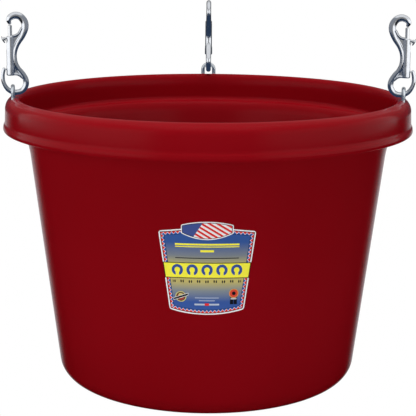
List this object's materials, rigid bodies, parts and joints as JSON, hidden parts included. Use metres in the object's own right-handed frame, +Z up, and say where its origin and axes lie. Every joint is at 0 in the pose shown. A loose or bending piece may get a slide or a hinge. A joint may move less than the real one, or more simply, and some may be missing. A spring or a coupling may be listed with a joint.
{
  "type": "hanging feed bucket",
  "caption": "Round tapered plastic feed tub with a hollow rolled rim, a front label and sprung snaps on U-bolts for hanging it on a wall or fence.",
  "frame": {"origin": "middle of the tub's flat underside", "axes": "+Z up, +X to the right of a person facing the label, which is on the -Y side"},
  "size_m": [0.444, 0.4454, 0.4022],
  "materials": {
    "tub_plastic": "satin moulded polyethylene",
    "label_print": "printed vinyl sticker",
    "zinc_plate": "bright plated die casting and rod",
    "bare_steel": "plain steel"
  },
  "bodies": {
    "root": {"tub": "tub_plastic", "label": "label_print", "u_bolt_left": "zinc_plate", "backing_strap_left": "bare_steel", "nut_left_1": "bare_steel", "nut_left_2": "bare_steel", "u_bolt_back": "zinc_plate", "backing_strap_back": "bare_steel", "nut_back_1": "bare_steel", "nut_back_2": "bare_steel", "u_bolt_right": "zinc_plate", "backing_strap_right": "bare_steel", "nut_right_1": "bare_steel", "nut_right_2": "bare_steel"},
    "snap_left": {"snap_body_left": "zinc_plate", "spring_left": "bare_steel", "spring_plug_left": "bare_steel"},
    "bolt_left": {"plunger_left": "zinc_plate", "thumb_stud_left": "zinc_plate"},
    "snap_back": {"snap_body_back": "zinc_plate", "spring_back": "bare_steel", "spring_plug_back": "bare_steel"},
    "bolt_back": {"plunger_back": "zinc_plate", "thumb_stud_back": "zinc_plate"},
    "snap_right": {"snap_body_right": "zinc_plate", "spring_right": "bare_steel", "spring_plug_right": "bare_steel"},
    "bolt_right": {"plunger_right": "zinc_plate", "thumb_stud_right": "zinc_plate"}
  },
  "joints": [
    {"name": "snap_left_swing", "type": "hinge", "parent": "root", "child": "snap_left", "pos_m": [-0.20801, -0.03295, 0.3234], "axis": [0.1564, -0.9877, 0], "range_deg": [-30, 105]},
    {"name": "plunger_left_slide", "type": "slide", "parent": "snap_left", "child": "bolt_left", "axis": [0, 0, -1], "range_m": [0, 0.0104], "stiffness_N_per_m": 250, "springref_m": -0.02, "deforming": ["spring_left"]},
    {"name": "snap_back_swing", "type": "hinge", "parent": "root", "child": "snap_back", "pos_m": [0, 0.2106, 0.3234], "axis": [-1, 0, 0], "range_deg": [-30, 105]},
    {"name": "plunger_back_slide", "type": "slide", "parent": "snap_back", "child": "bolt_back", "axis": [0, 0, -1], "range_m": [0, 0.0104], "stiffness_N_per_m": 250, "springref_m": -0.02, "deforming": ["spring_back"]},
    {"name": "snap_right_swing", "type": "hinge", "parent": "root", "child": "snap_right", "pos_m": [0.20801, -0.03295, 0.3234], "axis": [0.1564, 0.9877, 0], "range_deg": [-30, 105]},
    {"name": "plunger_right_slide", "type": "slide", "parent": "snap_right", "child": "bolt_right", "axis": [0, 0, -1], "range_m": [0, 0.0104], "stiffness_N_per_m": 250, "springref_m": -0.02, "deforming": ["spring_right"]}
  ]
}
